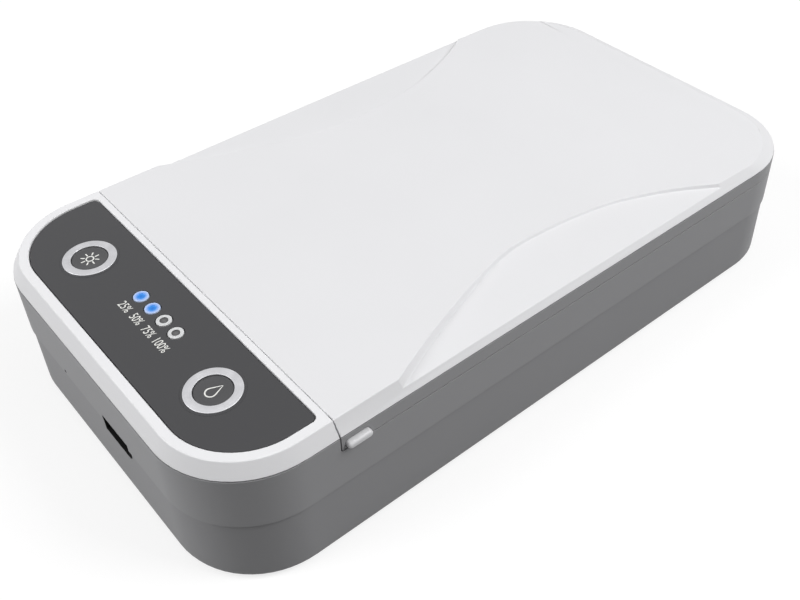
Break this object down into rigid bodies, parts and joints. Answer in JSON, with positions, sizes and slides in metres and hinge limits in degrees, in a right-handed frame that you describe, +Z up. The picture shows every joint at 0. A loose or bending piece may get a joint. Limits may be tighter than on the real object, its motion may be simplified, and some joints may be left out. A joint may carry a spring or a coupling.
{
  "type": "uv sanitizer box for phones",
  "caption": "Flat rounded countertop box that cleans a phone with ultraviolet light, with a rear-hinged lid and a front control deck with push buttons and indicator lights.",
  "frame": {"origin": "on the table under the middle of the box", "axes": "+X to the box's right side as seen from the control end, +Y from the control end to the hinge end, +Z up"},
  "size_m": [0.1248, 0.218, 0.0428],
  "materials": {
    "white_cover": "satin white moulded plastic",
    "grey_shell": "fine matt grey moulded plastic",
    "dark_panel": "smooth dark grey satin plastic",
    "dark_cap": "smooth dark grey satin plastic",
    "silver_ring": "bright satin silver",
    "lit_lens": "lit blue translucent plastic",
    "clear_lens": "unlit pale translucent plastic",
    "catch_plastic": "pale grey satin plastic",
    "black_plastic": "black moulded plastic",
    "white_plastic": "off-white moulded plastic",
    "circuit_board": "green circuit board",
    "steel": "bright nickel-plated steel",
    "copper_winding": "enamelled copper winding",
    "ribbon_cable": "flat grey ribbon cable",
    "reflector": "mirror-bright coated reflector",
    "lamp_glass": "clear quartz lamp tube",
    "felt": "pressed cream felt",
    "rubber": "dark rubber"
  },
  "bodies": {
    "base": {"lower_shell": "grey_shell", "upper_shell": "grey_shell", "front_bezel": "white_cover", "control_panel": "dark_panel", "left_button_ring": "silver_ring", "right_button_ring": "silver_ring", "left_switch_body": "black_plastic", "right_switch_body": "black_plastic", "indicator_lens_1": "lit_lens", "indicator_lens_2": "lit_lens", "indicator_lens_3": "clear_lens", "indicator_lens_4": "clear_lens", "indicator_led_1": "white_plastic", "indicator_led_2": "white_plastic", "indicator_led_3": "white_plastic", "indicator_led_4": "white_plastic", "control_board": "circuit_board", "board_screw_left": "steel", "board_screw_right": "steel", "lid_sensor": "black_plastic", "driver_board": "circuit_board", "usb_socket": "steel", "lamp_transformer": "copper_winding", "driver_capacitor": "black_plastic", "board_ribbon": "ribbon_cable", "chamber_tray": "reflector", "lower_lamp": "lamp_glass", "lower_lamp_holder_front": "white_plastic", "lower_lamp_holder_rear": "white_plastic", "scent_pad": "felt", "scent_pad_cover": "white_plastic", "hinge_pin": "steel", "rubber_foot_front_left": "rubber", "rubber_foot_rear_left": "rubber", "rubber_foot_front_right": "rubber", "rubber_foot_rear_right": "rubber", "case_screw_front_left": "steel", "case_screw_rear_left": "steel", "case_screw_front_right": "steel", "case_screw_rear_right": "steel"},
    "left_button": {"left_button_cap": "dark_cap", "left_switch_plunger": "white_plastic"},
    "right_button": {"right_button_cap": "dark_cap", "right_switch_plunger": "white_plastic"},
    "lid": {"lid_cover": "white_cover", "lid_skirt": "grey_shell", "lid_liner": "reflector", "upper_lamp": "lamp_glass", "upper_lamp_holder_front": "white_plastic", "upper_lamp_holder_rear": "white_plastic", "finger_catch_left": "catch_plastic", "finger_catch_right": "catch_plastic", "lid_screw_front_left": "steel", "lid_screw_rear_left": "steel", "lid_screw_front_right": "steel", "lid_screw_rear_right": "steel", "lid_magnet": "steel"}
  },
  "joints": [
    {"name": "left_button_press", "type": "slide", "parent": "base", "child": "left_button", "axis": [0, 0, -1], "range_m": [0, 0.0006], "stiffness_N_per_m": 400, "springref_m": -0.0008},
    {"name": "right_button_press", "type": "slide", "parent": "base", "child": "right_button", "axis": [0, 0, -1], "range_m": [0, 0.0006], "stiffness_N_per_m": 400, "springref_m": -0.0008},
    {"name": "lid_hinge", "type": "hinge", "parent": "base", "child": "lid", "pos_m": [0, 0.1056, 0.026], "axis": [-1, 0, 0], "range_deg": [0, 100]}
  ]
}
